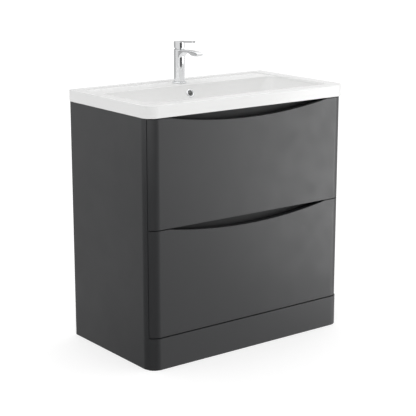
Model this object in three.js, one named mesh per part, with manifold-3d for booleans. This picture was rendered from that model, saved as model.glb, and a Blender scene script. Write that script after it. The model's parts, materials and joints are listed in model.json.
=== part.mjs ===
import * as THREE from "three";
import { mergeVertices } from "three/addons/utils/BufferGeometryUtils.js";
import Module from "manifold-3d";

// A floor-standing bathroom vanity cabinet, in millimetres: two handleless drawers on
// telescopic runners under an inset basin with a single-lever mixer tap.
// +X is to the right, -Y to the front and +Z up. The origin is on the floor, under the
// middle of the whole object.

// ---------------------------------------------------------------- driving dimensions
const UNIT_WIDTH = 800;
const UNIT_DEPTH = 452; // from the drawer fronts to the wall
const CABINET_TOP = 805.7;
const BOARD = 18; // carcass boards and drawer fronts
const CORNER_RADIUS = 41; // the two rounded front corners
const FRONT_SETBACK = 20; // from the face of the fronts to the carcass edge
const TOUCH = 0.3; // between pieces that touch

const PLINTH_HEIGHT = 104;
const PLINTH_PROUD = 2.3;
const PLINTH_THICKNESS = 22;
const PLINTH_RADIUS = 39.5;
const FRONT_GAP = 3;
const FRONT_HEIGHT = 346.5;
const SMILE_DEPTH = 29; // finger pull below the top edge of a front
const SMILE_HALF_CHORD = 325;

const BASIN_BOTTOM = 806;
const BASIN_TOP = 846;
const BASIN_OVERHANG = 4.5;
const BASIN_RADIUS = 40;
const BASIN_EDGE = 3;
const DECK_TOP = 840; // tap ledge behind the bowl
const DECK_UNDERSIDE = 820;
const BOWL_FLOOR = 735;
const BOWL_WALL = 11;

const DRAWER_BOARD = 15;
const DRAWER_BOTTOM = 10;
const DRAWER_LENGTH = 354; // from the back of the front to the back of the box
const NOTCH_HALF_WIDTH = 90; // room for the trap in the top drawer
const NOTCH_FRONT = 150;
const TOP_BOX = [474, 640]; // lower and upper edge of each drawer box
const BOTTOM_BOX = [124, 330];
const RUNNER_LENGTH = 350;
const RUNNER_WALL = 1.2;
const RUNNER_SPACE = 13; // between a side panel and a drawer box
const TOP_RUNNER_HEIGHT = 540;
const BOTTOM_RUNNER_HEIGHT = 200;

const TAP_RADIUS = 18.5;
const TAP_TOP = 955;
const TAP_DEPTH = 394; // from the fronts to the tap's axis
const WASTE_DEPTH = 192; // from the fronts to the waste's axis
const WASTE_TUBE = 21; // outer radius of the waste below its flange
const ROUND = 32; // segments round a tap-sized circle

// ---------------------------------------------------------------- derived places
const FRONT_Y = (BASIN_OVERHANG - UNIT_DEPTH) / 2;
const BACK_Y = FRONT_Y + UNIT_DEPTH;
const at = (depth) => FRONT_Y + depth; // a depth measured back from the drawer fronts
const HALF = UNIT_WIDTH / 2;
const INNER = HALF - BOARD; // inner face of a side panel
const SPAN = INNER - TOUCH; // half length of a piece between the side panels
const LOWER_FRONT = PLINTH_HEIGHT + FRONT_GAP;
const UPPER_FRONT = LOWER_FRONT + FRONT_HEIGHT + FRONT_GAP;
const BOX_OUTER = INNER - RUNNER_SPACE; // outer face of a drawer box
const BOX_INNER = BOX_OUTER - DRAWER_BOARD;
const BOX_BACK = BOARD + TOUCH + DRAWER_LENGTH;
const SIDES = { left: -1, right: 1 };

// ---------------------------------------------------------------- materials
const paint = { color: 0x4b4d50, roughness: 0.55, metalness: 0 };
const melamine = { color: 0x5a5c5f, roughness: 0.6, metalness: 0 };
const drawerBoard = { color: 0xb9b7b2, roughness: 0.6, metalness: 0 };
const ceramic = { color: 0xf2f2f2, roughness: 0.12, metalness: 0 };
const chrome = { color: 0xd8dadd, roughness: 0.08, metalness: 1 };
const steel = { color: 0xa9adb1, roughness: 0.35, metalness: 1 };
const rubber = { color: 0x202122, roughness: 0.8, metalness: 0 };
const plastic = { color: 0xdfe2e4, roughness: 0.4, metalness: 0 };

// ---------------------------------------------------------------- geometry helpers
const wasm = await Module();
wasm.setup();

function solidOf(geometry) {
  const bare = geometry.clone();
  bare.deleteAttribute("normal");
  bare.deleteAttribute("uv");
  const merged = mergeVertices(bare, 1e-4);
  return new wasm.Manifold(
    new wasm.Mesh({
      numProp: 3,
      vertProperties: merged.attributes.position.array,
      triVerts: new Uint32Array(merged.index.array),
    }),
  );
}

function geometryOf(solid) {
  const mesh = solid.getMesh();
  const geometry = new THREE.BufferGeometry();
  geometry.setAttribute("position", new THREE.BufferAttribute(mesh.vertProperties, 3));
  geometry.setIndex(new THREE.BufferAttribute(mesh.triVerts, 1));
  geometry.computeVertexNormals();
  return geometry;
}

const cut = (body, ...tools) =>
  geometryOf(tools.reduce((rest, tool) => rest.subtract(solidOf(tool)), solidOf(body)));
const join = (...pieces) =>
  geometryOf(pieces.slice(1).reduce((all, piece) => all.add(solidOf(piece)), solidOf(pieces[0])));

function mesh(name, geometry, look) {
  const made = new THREE.Mesh(geometry, new THREE.MeshStandardMaterial(look));
  made.name = name;
  return made;
}

// A box between two corners.
function block([x0, x1], [y0, y1], [z0, z1]) {
  const geometry = new THREE.BoxGeometry(Math.abs(x1 - x0), y1 - y0, z1 - z0);
  return geometry.translate((x0 + x1) / 2, (y0 + y1) / 2, (z0 + z1) / 2);
}

// A circle's arc as outline points, with angles in degrees.
function arc(x, y, radius, from, to, steps) {
  return Array.from({ length: steps + 1 }, (_, i) => {
    const angle = THREE.MathUtils.degToRad(from + ((to - from) * i) / steps);
    return new THREE.Vector2(x + radius * Math.cos(angle), y + radius * Math.sin(angle));
  });
}

const point = (x, y) => new THREE.Vector2(x, y);

// Extrudes an outline along one axis: its own plane is XY for "z", YZ for "x" and XZ for "y".
function extrude(points, axis, from, to) {
  const shape = new THREE.Shape(points);
  const geometry = new THREE.ExtrudeGeometry(shape, { depth: to - from, bevelEnabled: false });
  const turned = new THREE.Matrix4();
  if (axis === "x") turned.set(0, 0, 1, from, 1, 0, 0, 0, 0, 1, 0, 0, 0, 0, 0, 1);
  if (axis === "y") turned.set(1, 0, 0, 0, 0, 0, -1, to, 0, 1, 0, 0, 0, 0, 0, 1);
  if (axis === "z") turned.makeTranslation(0, 0, from);
  return geometry.applyMatrix4(turned);
}

// Turns a profile of [radius, height] pairs about a vertical axis.
function lathe(profile, depth = 0, steps = ROUND) {
  const points = profile.map(([radius, height]) => point(radius, height));
  return new THREE.LatheGeometry(points, steps).rotateX(Math.PI / 2).translate(0, depth, 0);
}

// A vertical cylinder at a depth from the fronts.
function post(radius, z0, z1, depth, steps = ROUND) {
  const geometry = new THREE.CylinderGeometry(radius, radius, z1 - z0, steps);
  return geometry.rotateX(Math.PI / 2).translate(0, at(depth), (z0 + z1) / 2);
}

// A level rounded rectangle from the left to the right half width, anticlockwise.
function ring({ z, half, front, back, radius, backRadius = radius }) {
  const steps = 8;
  const corner = (x, y, r, from) => arc(x, y, r, from, from + 90, steps);
  const outline = [
    ...corner(half - backRadius, at(back) - backRadius, backRadius, 0),
    ...corner(backRadius - half, at(back) - backRadius, backRadius, 90),
    ...corner(radius - half, at(front) + radius, radius, 180),
    ...corner(half - radius, at(front) + radius, radius, 270),
  ];
  return outline.map((p) => new THREE.Vector3(p.x, p.y, z));
}

// Closes a stack of level rings, lowest first, into one solid.
function loft(levels) {
  const rings = levels.map(ring);
  const count = rings[0].length;
  const index = [];
  for (let level = 0; level + 1 < rings.length; level += 1) {
    for (let i = 0; i < count; i += 1) {
      const low = level * count;
      const high = low + count;
      const next = (i + 1) % count;
      index.push(low + i, low + next, high + next, low + i, high + next, high + i);
    }
  }
  const top = (rings.length - 1) * count;
  for (let i = 1; i + 1 < count; i += 1) {
    index.push(0, i + 1, i);
    index.push(top, top + i, top + i + 1);
  }
  const geometry = new THREE.BufferGeometry().setFromPoints(rings.flat());
  geometry.setIndex(index);
  return geometry;
}

// ---------------------------------------------------------------- carcass
// The rounded corner runs on from the front's end into the side panel's front edge.
function sidePanel(side) {
  const centre = CORNER_RADIUS - HALF;
  const startAngle = 180 + THREE.MathUtils.radToDeg(
    Math.asin((CORNER_RADIUS - FRONT_SETBACK) / CORNER_RADIUS),
  );
  const outline = [
    ...arc(centre, at(CORNER_RADIUS), CORNER_RADIUS, startAngle, 180, 8),
    point(-HALF, BACK_Y),
    point(-INNER, BACK_Y),
    point(-INNER, at(FRONT_SETBACK)),
  ];
  const sided = outline.map((p) => point(-side * p.x, p.y));
  return extrude(sided, "z", 0, CABINET_TOP);
}

// The plan of a front or the plinth, with both ends rounded.
function frontPlan(face, thickness, radius) {
  const reach = THREE.MathUtils.radToDeg(Math.asin((radius - thickness) / radius));
  const left = arc(radius - HALF, at(face) + radius, radius, 180 + reach, 270, 14);
  const right = arc(HALF - radius, at(face) + radius, radius, 270, 360 - reach, 14);
  return [...left, ...right];
}

// A C-shaped rail behind a finger pull: a web with a flange to the front at each edge.
const RAIL_FACE = 31;
const RAIL_SHEET = 2;
const RAIL_LIP = FRONT_SETBACK + 1;
const TOP_RAIL = [745, CABINET_TOP]; // lower and upper edge of each rail
const MIDDLE_RAIL = [402, 468];
function fingerRail([z0, z1]) {
  const web = at(RAIL_FACE);
  const lip = at(RAIL_LIP);
  const outline = [
    point(lip, z0), point(web + RAIL_SHEET, z0), point(web + RAIL_SHEET, z1), point(lip, z1),
    point(lip, z1 - RAIL_SHEET), point(web, z1 - RAIL_SHEET),
    point(web, z0 + RAIL_SHEET), point(lip, z0 + RAIL_SHEET),
  ];
  return extrude(outline, "x", -SPAN, SPAN);
}

// An L of sheet steel, 2 mm thick, for the wall and for the plinth.
const ANGLE_SHEET = 2;
const ANGLE_HOLE = 3;
const ANGLE_HOLE_PLACE = 26; // from the corner of the angle
function wallBracket(side) {
  const width = 40;
  const [z0, z1] = [640, 680];
  const face = SPAN;
  const wall = BACK_Y - TOUCH;
  const outline = [
    point(face, wall), point(face, wall - width), point(face - ANGLE_SHEET, wall - width),
    point(face - ANGLE_SHEET, wall - ANGLE_SHEET), point(face - width, wall - ANGLE_SHEET),
    point(face - width, wall),
  ];
  const plate = extrude(outline.map((p) => point(side * p.x, p.y)), "z", z0, z1);
  const hole = (turn, x, y) => {
    const drill = new THREE.CylinderGeometry(ANGLE_HOLE, ANGLE_HOLE, 3 * ANGLE_SHEET, 16);
    return drill.applyMatrix4(turn).translate(side * x, y, (z0 + z1) / 2);
  };
  const alongY = new THREE.Matrix4();
  const alongX = new THREE.Matrix4().makeRotationZ(Math.PI / 2);
  return cut(
    plate,
    hole(alongY, face - ANGLE_HOLE_PLACE, wall - ANGLE_SHEET / 2),
    hole(alongX, face - ANGLE_SHEET / 2, wall - ANGLE_HOLE_PLACE),
  );
}

function plinthBracket(side) {
  const middle = side * 250;
  const halfWidth = 20;
  const face = at(FRONT_SETBACK);
  const top = PLINTH_HEIGHT - BOARD - TOUCH;
  const reach = 30;
  const outline = [
    point(face, top), point(face + reach, top), point(face + reach, top - ANGLE_SHEET),
    point(face + ANGLE_SHEET, top - ANGLE_SHEET), point(face + ANGLE_SHEET, top - reach),
    point(face, top - reach),
  ];
  return extrude(outline, "x", middle - halfWidth, middle + halfWidth);
}

function carcass() {
  const group = new THREE.Group();
  const plinth = frontPlan(-PLINTH_PROUD, PLINTH_THICKNESS, PLINTH_RADIUS);
  const railBack = [at(UNIT_DEPTH - BOARD), BACK_Y];
  const topRailHeight = 100;
  const bottomRailHeight = 80;
  group.add(
    mesh("base_panel", block([-SPAN, SPAN], [at(FRONT_SETBACK), BACK_Y],
      [PLINTH_HEIGHT - BOARD, PLINTH_HEIGHT]), melamine),
    mesh("plinth_panel", extrude(plinth, "z", 0, PLINTH_HEIGHT), paint),
    mesh("top_finger_rail", fingerRail(TOP_RAIL), paint),
    mesh("middle_finger_rail", fingerRail(MIDDLE_RAIL), paint),
    mesh("back_top_rail", block([-SPAN, SPAN], railBack,
      [CABINET_TOP - topRailHeight, CABINET_TOP]), melamine),
    mesh("back_bottom_rail", block([-SPAN, SPAN], railBack,
      [PLINTH_HEIGHT + TOUCH, PLINTH_HEIGHT + bottomRailHeight]), melamine),
  );
  for (const [name, side] of Object.entries(SIDES)) {
    group.add(
      mesh(`side_panel_${name}`, sidePanel(side), paint),
      mesh(`wall_bracket_${name}`, wallBracket(side), steel),
      mesh(`plinth_bracket_${name}`, plinthBracket(side), steel),
    );
  }
  return group;
}

// ---------------------------------------------------------------- drawers
// A front board with a shallow arc cut out of its top edge as the finger pull.
function drawerFront(bottom) {
  const top = bottom + FRONT_HEIGHT;
  const radius = (SMILE_HALF_CHORD ** 2 + SMILE_DEPTH ** 2) / (2 * SMILE_DEPTH);
  const middle = top - SMILE_DEPTH + radius;
  const clear = 5; // the cutter stands this far over the top edge
  const half = THREE.MathUtils.radToDeg(Math.acos((middle - top - clear) / radius));
  const smile = arc(0, middle, radius, 270 - half, 270 + half, 48);
  const cutter = extrude(smile, "y", at(-clear), at(BOARD + clear));
  return cut(extrude(frontPlan(0, BOARD, CORNER_RADIUS), "z", bottom, top), cutter);
}

// The sections of a runner's three channels. The web and the open edge are measured from the
// side panel's inner face.
const RUNNER_FIXED = { web: TOUCH, edge: 10.5, halfHeight: 22.5 };
const RUNNER_MIDDLE = { web: 2.8, edge: 11, halfHeight: 17.5 };
const RUNNER_MOVING = { web: RUNNER_SPACE - TOUCH, edge: 5.5, halfHeight: 12.5 };

// A sheet-steel channel of a runner, along the drawer.
function channel(side, section, middle) {
  const { halfHeight } = section;
  const web = INNER - section.web;
  const edge = INNER - section.edge;
  const inner = web + Math.sign(edge - web) * RUNNER_WALL;
  const outline = [
    [web, -halfHeight], [edge, -halfHeight], [edge, RUNNER_WALL - halfHeight],
    [inner, RUNNER_WALL - halfHeight], [inner, halfHeight - RUNNER_WALL],
    [edge, halfHeight - RUNNER_WALL], [edge, halfHeight], [web, halfHeight],
  ].map(([x, z]) => point(side * x, middle + z));
  const start = FRONT_SETBACK + 2;
  return extrude(outline, "y", at(start), at(start + RUNNER_LENGTH));
}

// A full-extension runner: one channel on the side panel, one between, one on the drawer.
function runners(drawer, height) {
  const group = new THREE.Group();
  for (const [name, side] of Object.entries(SIDES)) {
    group.add(
      mesh(`${drawer}_runner_fixed_${name}`, channel(side, RUNNER_FIXED, height), steel),
      mesh(`${drawer}_runner_middle_${name}`, channel(side, RUNNER_MIDDLE, height), steel),
      mesh(`${drawer}_runner_moving_${name}`, channel(side, RUNNER_MOVING, height), steel),
    );
  }
  return group;
}

// A clear bumper between the back of a front and the edge of a side panel.
const BUMPER_RADIUS = 4;
const BUMPER_THICKNESS = 1.4;
const BUMPER_BELOW_TOP = 60;
function bumper(side, frontBottom) {
  const disc = new THREE.CylinderGeometry(BUMPER_RADIUS, BUMPER_RADIUS, BUMPER_THICKNESS, 12);
  const x = INNER + BUMPER_RADIUS + 0.5;
  const y = at(BOARD + TOUCH + BUMPER_THICKNESS / 2);
  return disc.translate(side * x, y, frontBottom + FRONT_HEIGHT - BUMPER_BELOW_TOP);
}

// The front, its two sides and its bumpers, which both drawers share.
function drawerShell(drawer, frontBottom, box) {
  const group = new THREE.Group();
  const depth = [at(BOARD + TOUCH), at(BOX_BACK)];
  group.add(mesh(`${drawer}_front`, drawerFront(frontBottom), paint));
  for (const [name, side] of Object.entries(SIDES)) {
    const board = block([side * BOX_INNER, side * BOX_OUTER], depth, box);
    group.add(
      mesh(`${drawer}_side_${name}`, board, drawerBoard),
      mesh(`${drawer}_bumper_${name}`, bumper(side, frontBottom), plastic),
    );
  }
  return group;
}

function topDrawer() {
  const name = "top_drawer";
  const [bottom, top] = TOP_BOX;
  const group = drawerShell(name, UPPER_FRONT, TOP_BOX);
  const walls = [bottom + DRAWER_BOTTOM + TOUCH, top];
  const inner = BOX_INNER - TOUCH;
  const notch = NOTCH_HALF_WIDTH;
  const notchOuter = notch + DRAWER_BOARD;
  const plan = [
    [-inner, BOARD + TOUCH], [inner, BOARD + TOUCH], [inner, BOX_BACK], [notch, BOX_BACK],
    [notch, NOTCH_FRONT], [-notch, NOTCH_FRONT], [-notch, BOX_BACK], [-inner, BOX_BACK],
  ].map(([x, depth]) => point(x, at(depth)));
  group.add(
    mesh(`${name}_bottom`, extrude(plan, "z", bottom, bottom + DRAWER_BOTTOM), drawerBoard),
    mesh(`${name}_notch_front`, block([-notchOuter, notchOuter],
      [at(NOTCH_FRONT - DRAWER_BOARD), at(NOTCH_FRONT)], walls), drawerBoard),
  );
  for (const [label, side] of Object.entries(SIDES)) {
    const cheek = block([side * notch, side * notchOuter],
      [at(NOTCH_FRONT + TOUCH), at(BOX_BACK)], walls);
    const back = block([side * (notchOuter + TOUCH), side * inner],
      [at(BOX_BACK - DRAWER_BOARD), at(BOX_BACK)], walls);
    group.add(
      mesh(`${name}_notch_${label}`, cheek, drawerBoard),
      mesh(`${name}_back_${label}`, back, drawerBoard),
    );
  }
  return group;
}

function bottomDrawer() {
  const name = "bottom_drawer";
  const [bottom, top] = BOTTOM_BOX;
  const group = drawerShell(name, LOWER_FRONT, BOTTOM_BOX);
  const inner = BOX_INNER - TOUCH;
  group.add(
    mesh(`${name}_bottom`, block([-inner, inner], [at(BOARD + TOUCH), at(BOX_BACK)],
      [bottom, bottom + DRAWER_BOTTOM]), drawerBoard),
    mesh(`${name}_back`, block([-inner, inner], [at(BOX_BACK - DRAWER_BOARD), at(BOX_BACK)],
      [bottom + DRAWER_BOTTOM + TOUCH, top]), drawerBoard),
  );
  return group;
}

// ---------------------------------------------------------------- basin
// The bowl's inner surface as level rounded rectangles, from its floor to the deck.
const BOWL = [
  { z: BOWL_FLOOR, half: 46, front: WASTE_DEPTH - 44, back: WASTE_DEPTH + 44, radius: 43 },
  { z: 737.5, half: 246, front: 114, back: 262, radius: 56 },
  { z: 742, half: 272, front: 94, back: 282, radius: 56 },
  { z: 752, half: 292, front: 76, back: 300, radius: 50 },
  { z: 768, half: 308, front: 65, back: 312.5, radius: 43 },
  { z: 790, half: 325, front: 57, back: 322.5, radius: 38 },
  { z: 837, half: 359, front: 43, back: 342, radius: 31 },
  { z: DECK_TOP, half: 361.5, front: 41, back: 345, radius: 30 },
];
const RIM = [
  { z: DECK_TOP, half: 361.5, front: 41, back: 430, radius: 30, backRadius: 18 },
  { z: BASIN_TOP, half: 366, front: 37.5, back: 434, radius: 33, backRadius: 20 },
];
const BACK_WALL_SLOPE = Math.atan2(342 - 322.5, 837 - 790);
const OVERFLOW_Z = 811;
const OVERFLOW_DEPTH = 342 - (837 - OVERFLOW_Z) * Math.tan(BACK_WALL_SLOPE);
const OVERFLOW_HOLE = 12.2;
const BOSS_BOTTOM = 703;
const BOSS_RADIUS = 40;
const WASTE_HOLE = 22.5;
const TAP_HOLE = 18;
const DUCT_BACK = 359; // the overflow's duct down to the waste
const DUCT_HALF_WIDTH = 22;
const DUCT_THICKNESS = 12;
const DUCT_WALL = 8;
const DUCT_FLOOR = BOSS_BOTTOM + 6;

// Places a piece made about its own upright axis at the overflow, with its axis square to
// the sloping back wall.
function onBackWall(geometry) {
  return geometry
    .rotateX(Math.PI / 2 - BACK_WALL_SLOPE)
    .translate(0, at(OVERFLOW_DEPTH), OVERFLOW_Z);
}

function basinSlab() {
  const radius = BASIN_RADIUS;
  const half = HALF + BASIN_OVERHANG;
  const front = -BASIN_OVERHANG;
  const backRadius = 4;
  const outline = ring({ z: 0, half, front, back: UNIT_DEPTH, radius, backRadius });
  const shape = new THREE.Shape(outline.map((p) => point(p.x, p.y)));
  const depth = BASIN_TOP - BASIN_BOTTOM - 2 * BASIN_EDGE;
  const bevel = { bevelThickness: BASIN_EDGE, bevelSize: BASIN_EDGE, bevelOffset: -BASIN_EDGE };
  const options = { depth, ...bevel, bevelSegments: 2, steps: 1 };
  return new THREE.ExtrudeGeometry(shape, options).translate(0, 0, BASIN_BOTTOM + BASIN_EDGE);
}

function basin() {
  const shellTop = BASIN_BOTTOM + 12; // inside the slab, so that the two join
  const shell = BOWL.map((level) => ({
    z: Math.min(level.z - BOWL_WALL, shellTop),
    half: level.half + BOWL_WALL,
    front: level.front - BOWL_WALL,
    back: level.back + BOWL_WALL,
    radius: level.radius + BOWL_WALL,
  })).slice(0, -1);
  const over = 2; // a cutter stands this far over the face that it opens
  const rimCutter = [...RIM, { ...RIM[1], z: BASIN_TOP + over }];
  const bowlCutter = [...BOWL, { ...BOWL[7], z: DECK_TOP + over }];
  const ductOutside = DUCT_HALF_WIDTH + DUCT_WALL;
  const ductEnd = DUCT_BACK + DUCT_WALL;
  const outside = join(
    basinSlab(),
    loft(shell),
    post(BOSS_RADIUS, BOSS_BOTTOM, BOWL_FLOOR - 5, WASTE_DEPTH),
    block([-ductOutside, ductOutside], [at(310), at(ductEnd)], [BOSS_BOTTOM, BASIN_BOTTOM + 9]),
    block([-ductOutside, ductOutside], [at(WASTE_DEPTH), at(ductEnd)],
      [BOSS_BOTTOM, BOWL_FLOOR - 7]),
  );
  const overflowLength = 60;
  const overflow = new THREE.CylinderGeometry(OVERFLOW_HOLE, OVERFLOW_HOLE, overflowLength, ROUND)
    .rotateX(Math.PI / 2)
    .translate(0, 0, 6 - overflowLength / 2);
  const underDeck = 340; // half width of the recess below the tap ledge
  return cut(
    outside,
    loft(rimCutter),
    loft(bowlCutter),
    block([-underDeck, underDeck], [at(ductEnd + 0.5), at(UNIT_DEPTH - 20)],
      [BASIN_BOTTOM - over, DECK_UNDERSIDE]),
    post(TAP_HOLE, DECK_UNDERSIDE - over, DECK_TOP + over, TAP_DEPTH),
    post(WASTE_HOLE, BOSS_BOTTOM - over, BOWL_FLOOR + over, WASTE_DEPTH),
    block([-DUCT_HALF_WIDTH, DUCT_HALF_WIDTH], [at(DUCT_BACK - DUCT_THICKNESS), at(DUCT_BACK)],
      [DUCT_FLOOR, BASIN_BOTTOM + 12]),
    block([-14, 14], [at(WASTE_DEPTH), at(DUCT_BACK)], [DUCT_FLOOR, DUCT_FLOOR + 10]),
    onBackWall(overflow),
  );
}

function overflowRing() {
  const profile = [[9.5, -12], [11.8, -12], [11.8, TOUCH], [15.5, TOUCH], [15.5, 1.4],
    [14, 2.5], [11, 2.5], [9.5, 1.4], [9.5, -12]];
  return onBackWall(lathe(profile));
}

// ---------------------------------------------------------------- waste
function waste() {
  const group = new THREE.Group();
  const depth = at(WASTE_DEPTH);
  const bore = 17;
  const tube = WASTE_TUBE;
  const outlet = 655;
  const flange = BOWL_FLOOR + TOUCH;
  const body = lathe([[bore, outlet], [tube, outlet], [tube, flange], [32, flange],
    [32, flange + 1.5], [30.5, flange + 2.7], [19, flange + 2.7], [bore, flange + 1],
    [bore, outlet]], depth);
  const slot = block([-6, 6], [depth - 25, depth + 25], [DUCT_FLOOR, DUCT_FLOOR + 9]);
  const seat = flange + 3; // underside of the closed plug
  const stemEnd = 716;
  const plug = lathe([[0, stemEnd], [5, stemEnd], [5, seat], [31, seat], [31, seat + 2],
    [28, seat + 4.5], [15, seat + 6], [0, seat + 6.4]], depth);
  const guide = [722, 732];
  const hub = lathe([[5.4, guide[0]], [8, guide[0]], [8, guide[1]], [5.4, guide[1]],
    [5.4, guide[0]]], depth);
  const arm = (side) => block([side * 7.2, side * (bore - TOUCH)], [depth - 2, depth + 2], guide);
  const sealBottom = 696.5;
  const sealTop = BOSS_BOTTOM - TOUCH;
  const seal = lathe([[tube + TOUCH, sealBottom], [34, sealBottom], [30, sealTop],
    [tube + TOUCH, sealTop], [tube + TOUCH, sealBottom]], depth);
  const nutHeight = [686, sealBottom - TOUCH];
  const nut = cut(post(33, ...nutHeight, WASTE_DEPTH, 6),
    post(tube + TOUCH, nutHeight[0] - 5, nutHeight[1] + 5, WASTE_DEPTH));
  group.add(
    mesh("waste_body", cut(body, slot), chrome),
    mesh("waste_plug", plug, chrome),
    mesh("waste_plug_guide", join(hub, arm(-1), arm(1)), plastic),
    mesh("waste_seal", seal, rubber),
    mesh("waste_nut", nut, steel),
  );
  return group;
}

// ---------------------------------------------------------------- tap
const AERATOR_REACH = 98; // from the tap's axis
const AERATOR_RADIUS = 10;
const LEVER_PIVOT_Z = 959;

// The spout's side profile as [reach from the axis, height], along the top and back below.
function spout() {
  const halfWidth = 13;
  const round = 3;
  const top = [[0, 951], [20, 953.5], [45, 955.6], [75, 956], [100, 955], [116, 952.5],
    [123, 948.6]];
  const below = [[122.5, 946], [113, 941], [109, 940], [87, 940], [81, 942.5], [74, 946.5],
    [64, 949], [48, 949], [34, 946.5], [24, 940], [18, 930], [0, 922]];
  const outline = [...top, ...below].map(([reach, z]) => point(at(TAP_DEPTH) - reach, z));
  const shape = new THREE.Shape(outline);
  const bevel = { bevelThickness: round, bevelSize: round / 2, bevelSegments: 2 };
  const options = { depth: 2 * (halfWidth - round), ...bevel };
  const turned = new THREE.Matrix4();
  turned.set(0, 0, 1, round - halfWidth, 1, 0, 0, 0, 0, 1, 0, 0, 0, 0, 0, 1);
  return new THREE.ExtrudeGeometry(shape, options).applyMatrix4(turned);
}

const CARTRIDGE_BORE = 15.5;
const CARTRIDGE_DEPTH = 25;
function tapBody() {
  const bottom = DECK_TOP + 5;
  const socket = 13; // where the stud and the hoses come in
  const column = lathe([[0, bottom], [TAP_RADIUS, bottom], [TAP_RADIUS, TAP_TOP - 1],
    [TAP_RADIUS - 1, TAP_TOP], [0, TAP_TOP]], at(TAP_DEPTH));
  return cut(
    join(column, spout()),
    post(socket, bottom - 2, bottom + 5, TAP_DEPTH),
    post(CARTRIDGE_BORE, TAP_TOP - CARTRIDGE_DEPTH, TAP_TOP + 5, TAP_DEPTH),
    post(AERATOR_RADIUS, 930, 945, TAP_DEPTH - AERATOR_REACH),
  );
}

// The head and its flat lever are one piece. The head is cut away behind, so that it can tilt.
function tapLever() {
  const underside = LEVER_PIVOT_Z + TOUCH;
  const top = 979;
  const head = lathe([[0, underside], [TAP_RADIUS - 0.6, underside], [TAP_RADIUS, underside + 0.6],
    [TAP_RADIUS, top - 1], [TAP_RADIUS - 1, top], [0, top]], at(TAP_DEPTH));
  const behind = 30;
  const relief = Math.tan(THREE.MathUtils.degToRad(22)) * behind;
  const wedge = extrude([
    point(at(TAP_DEPTH), underside), point(at(TAP_DEPTH) + behind, underside + relief),
    point(at(TAP_DEPTH) + behind, underside - 5), point(at(TAP_DEPTH), underside - 5),
  ], "x", -behind, behind);
  const reach = 88;
  const thickness = 5;
  const rise = THREE.MathUtils.degToRad(4.5);
  const tip = 7;
  const plan = [point(-9, 10), point(-9, -10), ...arc(0, tip - reach, tip, 180, 360, 8),
    point(9, -10), point(9, 10)];
  const tongue = extrude(plan, "z", 0, thickness)
    .rotateX(-rise)
    .translate(0, at(TAP_DEPTH), 977);
  return join(cut(head, wedge), tongue);
}

function tap() {
  const group = new THREE.Group();
  const axis = at(TAP_DEPTH);
  const base = lathe([[10, DECK_TOP + TOUCH], [24.5, DECK_TOP + TOUCH], [24.5, DECK_TOP + 3],
    [23, DECK_TOP + 4.7], [10, DECK_TOP + 4.7], [10, DECK_TOP + TOUCH]], axis);
  const horseshoe = [
    ...arc(0, axis, 24, 102, 438, 28),
    point(5, axis), ...arc(0, axis, 5, 0, -180, 8),
  ];
  const stud = 4;
  const washer = [817.2, DECK_UNDERSIDE - TOUCH];
  const nutHeight = [810, washer[0] - TOUCH];
  const nut = cut(post(7.5, ...nutHeight, TAP_DEPTH, 6),
    post(stud + TOUCH, nutHeight[0] - 5, washer[1], TAP_DEPTH, 16));
  const cartridge = [TAP_TOP - CARTRIDGE_DEPTH + TOUCH, TAP_TOP];
  group.add(
    mesh("tap_base_ring", base, chrome),
    mesh("tap_body", tapBody(), chrome),
    mesh("tap_cartridge", post(CARTRIDGE_BORE - TOUCH, ...cartridge, TAP_DEPTH), plastic),
    mesh("tap_turntable", post(14.5, TAP_TOP + TOUCH, LEVER_PIVOT_Z, TAP_DEPTH), chrome),
    mesh("tap_lever", tapLever(), chrome),
    mesh("tap_aerator", post(AERATOR_RADIUS - TOUCH, 939.6, 944.7, TAP_DEPTH - AERATOR_REACH),
      plastic),
    mesh("tap_fixing_stud", post(stud, 798, DECK_TOP + 9.7, TAP_DEPTH, 16), steel),
    mesh("tap_fixing_washer", extrude(horseshoe, "z", ...washer), steel),
    mesh("tap_fixing_nut", nut, steel),
  );
  return group;
}

// ---------------------------------------------------------------- the whole cabinet
const vanity = new THREE.Group();
vanity.add(
  carcass(),
  topDrawer(),
  bottomDrawer(),
  runners("top_drawer", TOP_RUNNER_HEIGHT),
  runners("bottom_drawer", BOTTOM_RUNNER_HEIGHT),
  mesh("basin", basin(), ceramic),
  mesh("overflow_ring", overflowRing(), chrome),
  waste(),
  tap(),
);

export default vanity;
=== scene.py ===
"""A bathroom vanity cabinet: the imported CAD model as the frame, with finished surfaces,
a freshly built basin, tap and waste, and a plain studio round it. Metres, +Z up."""

import json
import math

import bmesh
import bpy
from mathutils import Matrix, Vector


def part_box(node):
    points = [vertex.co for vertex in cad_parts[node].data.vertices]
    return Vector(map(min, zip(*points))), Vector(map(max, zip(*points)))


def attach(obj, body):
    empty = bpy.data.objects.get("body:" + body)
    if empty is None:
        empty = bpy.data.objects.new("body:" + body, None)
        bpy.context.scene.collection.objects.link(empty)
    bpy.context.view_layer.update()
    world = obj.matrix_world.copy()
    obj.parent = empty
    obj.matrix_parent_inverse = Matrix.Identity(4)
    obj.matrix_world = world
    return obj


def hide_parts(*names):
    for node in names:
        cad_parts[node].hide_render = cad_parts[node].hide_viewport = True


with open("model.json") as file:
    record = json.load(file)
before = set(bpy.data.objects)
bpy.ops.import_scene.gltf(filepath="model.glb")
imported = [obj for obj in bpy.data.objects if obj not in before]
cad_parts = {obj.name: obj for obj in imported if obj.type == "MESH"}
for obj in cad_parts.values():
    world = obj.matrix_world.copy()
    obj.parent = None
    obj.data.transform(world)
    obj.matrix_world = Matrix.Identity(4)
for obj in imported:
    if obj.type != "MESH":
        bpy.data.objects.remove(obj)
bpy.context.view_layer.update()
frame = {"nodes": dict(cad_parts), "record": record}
nodes = frame["nodes"]
MM = 0.001
SIDES = {"left": -1, "right": 1}


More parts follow.
